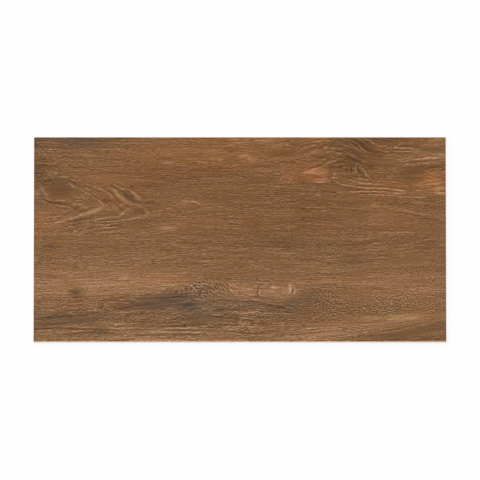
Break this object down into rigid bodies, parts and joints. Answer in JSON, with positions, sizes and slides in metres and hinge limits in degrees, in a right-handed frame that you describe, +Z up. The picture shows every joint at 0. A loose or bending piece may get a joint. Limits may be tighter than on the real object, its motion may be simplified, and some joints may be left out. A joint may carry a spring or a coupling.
{
  "type": "wood look porcelain tile",
  "caption": "Rectangular rectified porcelain floor tile with a matte brown wood-look printed face, a ground arris and a waffle-keyed back for adhesive.",
  "frame": {"origin": "middle of the back, on the plane of the rim and ribs that the tile rests on", "axes": "+X along the length, +Y across the width, +Z up through the printed face"},
  "size_m": [0.598, 0.298, 0.0095],
  "materials": {
    "printed_porcelain": "matte wood-grain print under a textured glaze on the face, unglazed buff porcelain on the sides and back"
  },
  "bodies": {
    "root": {"porcelain_tile": "printed_porcelain"}
  },
  "joints": []
}
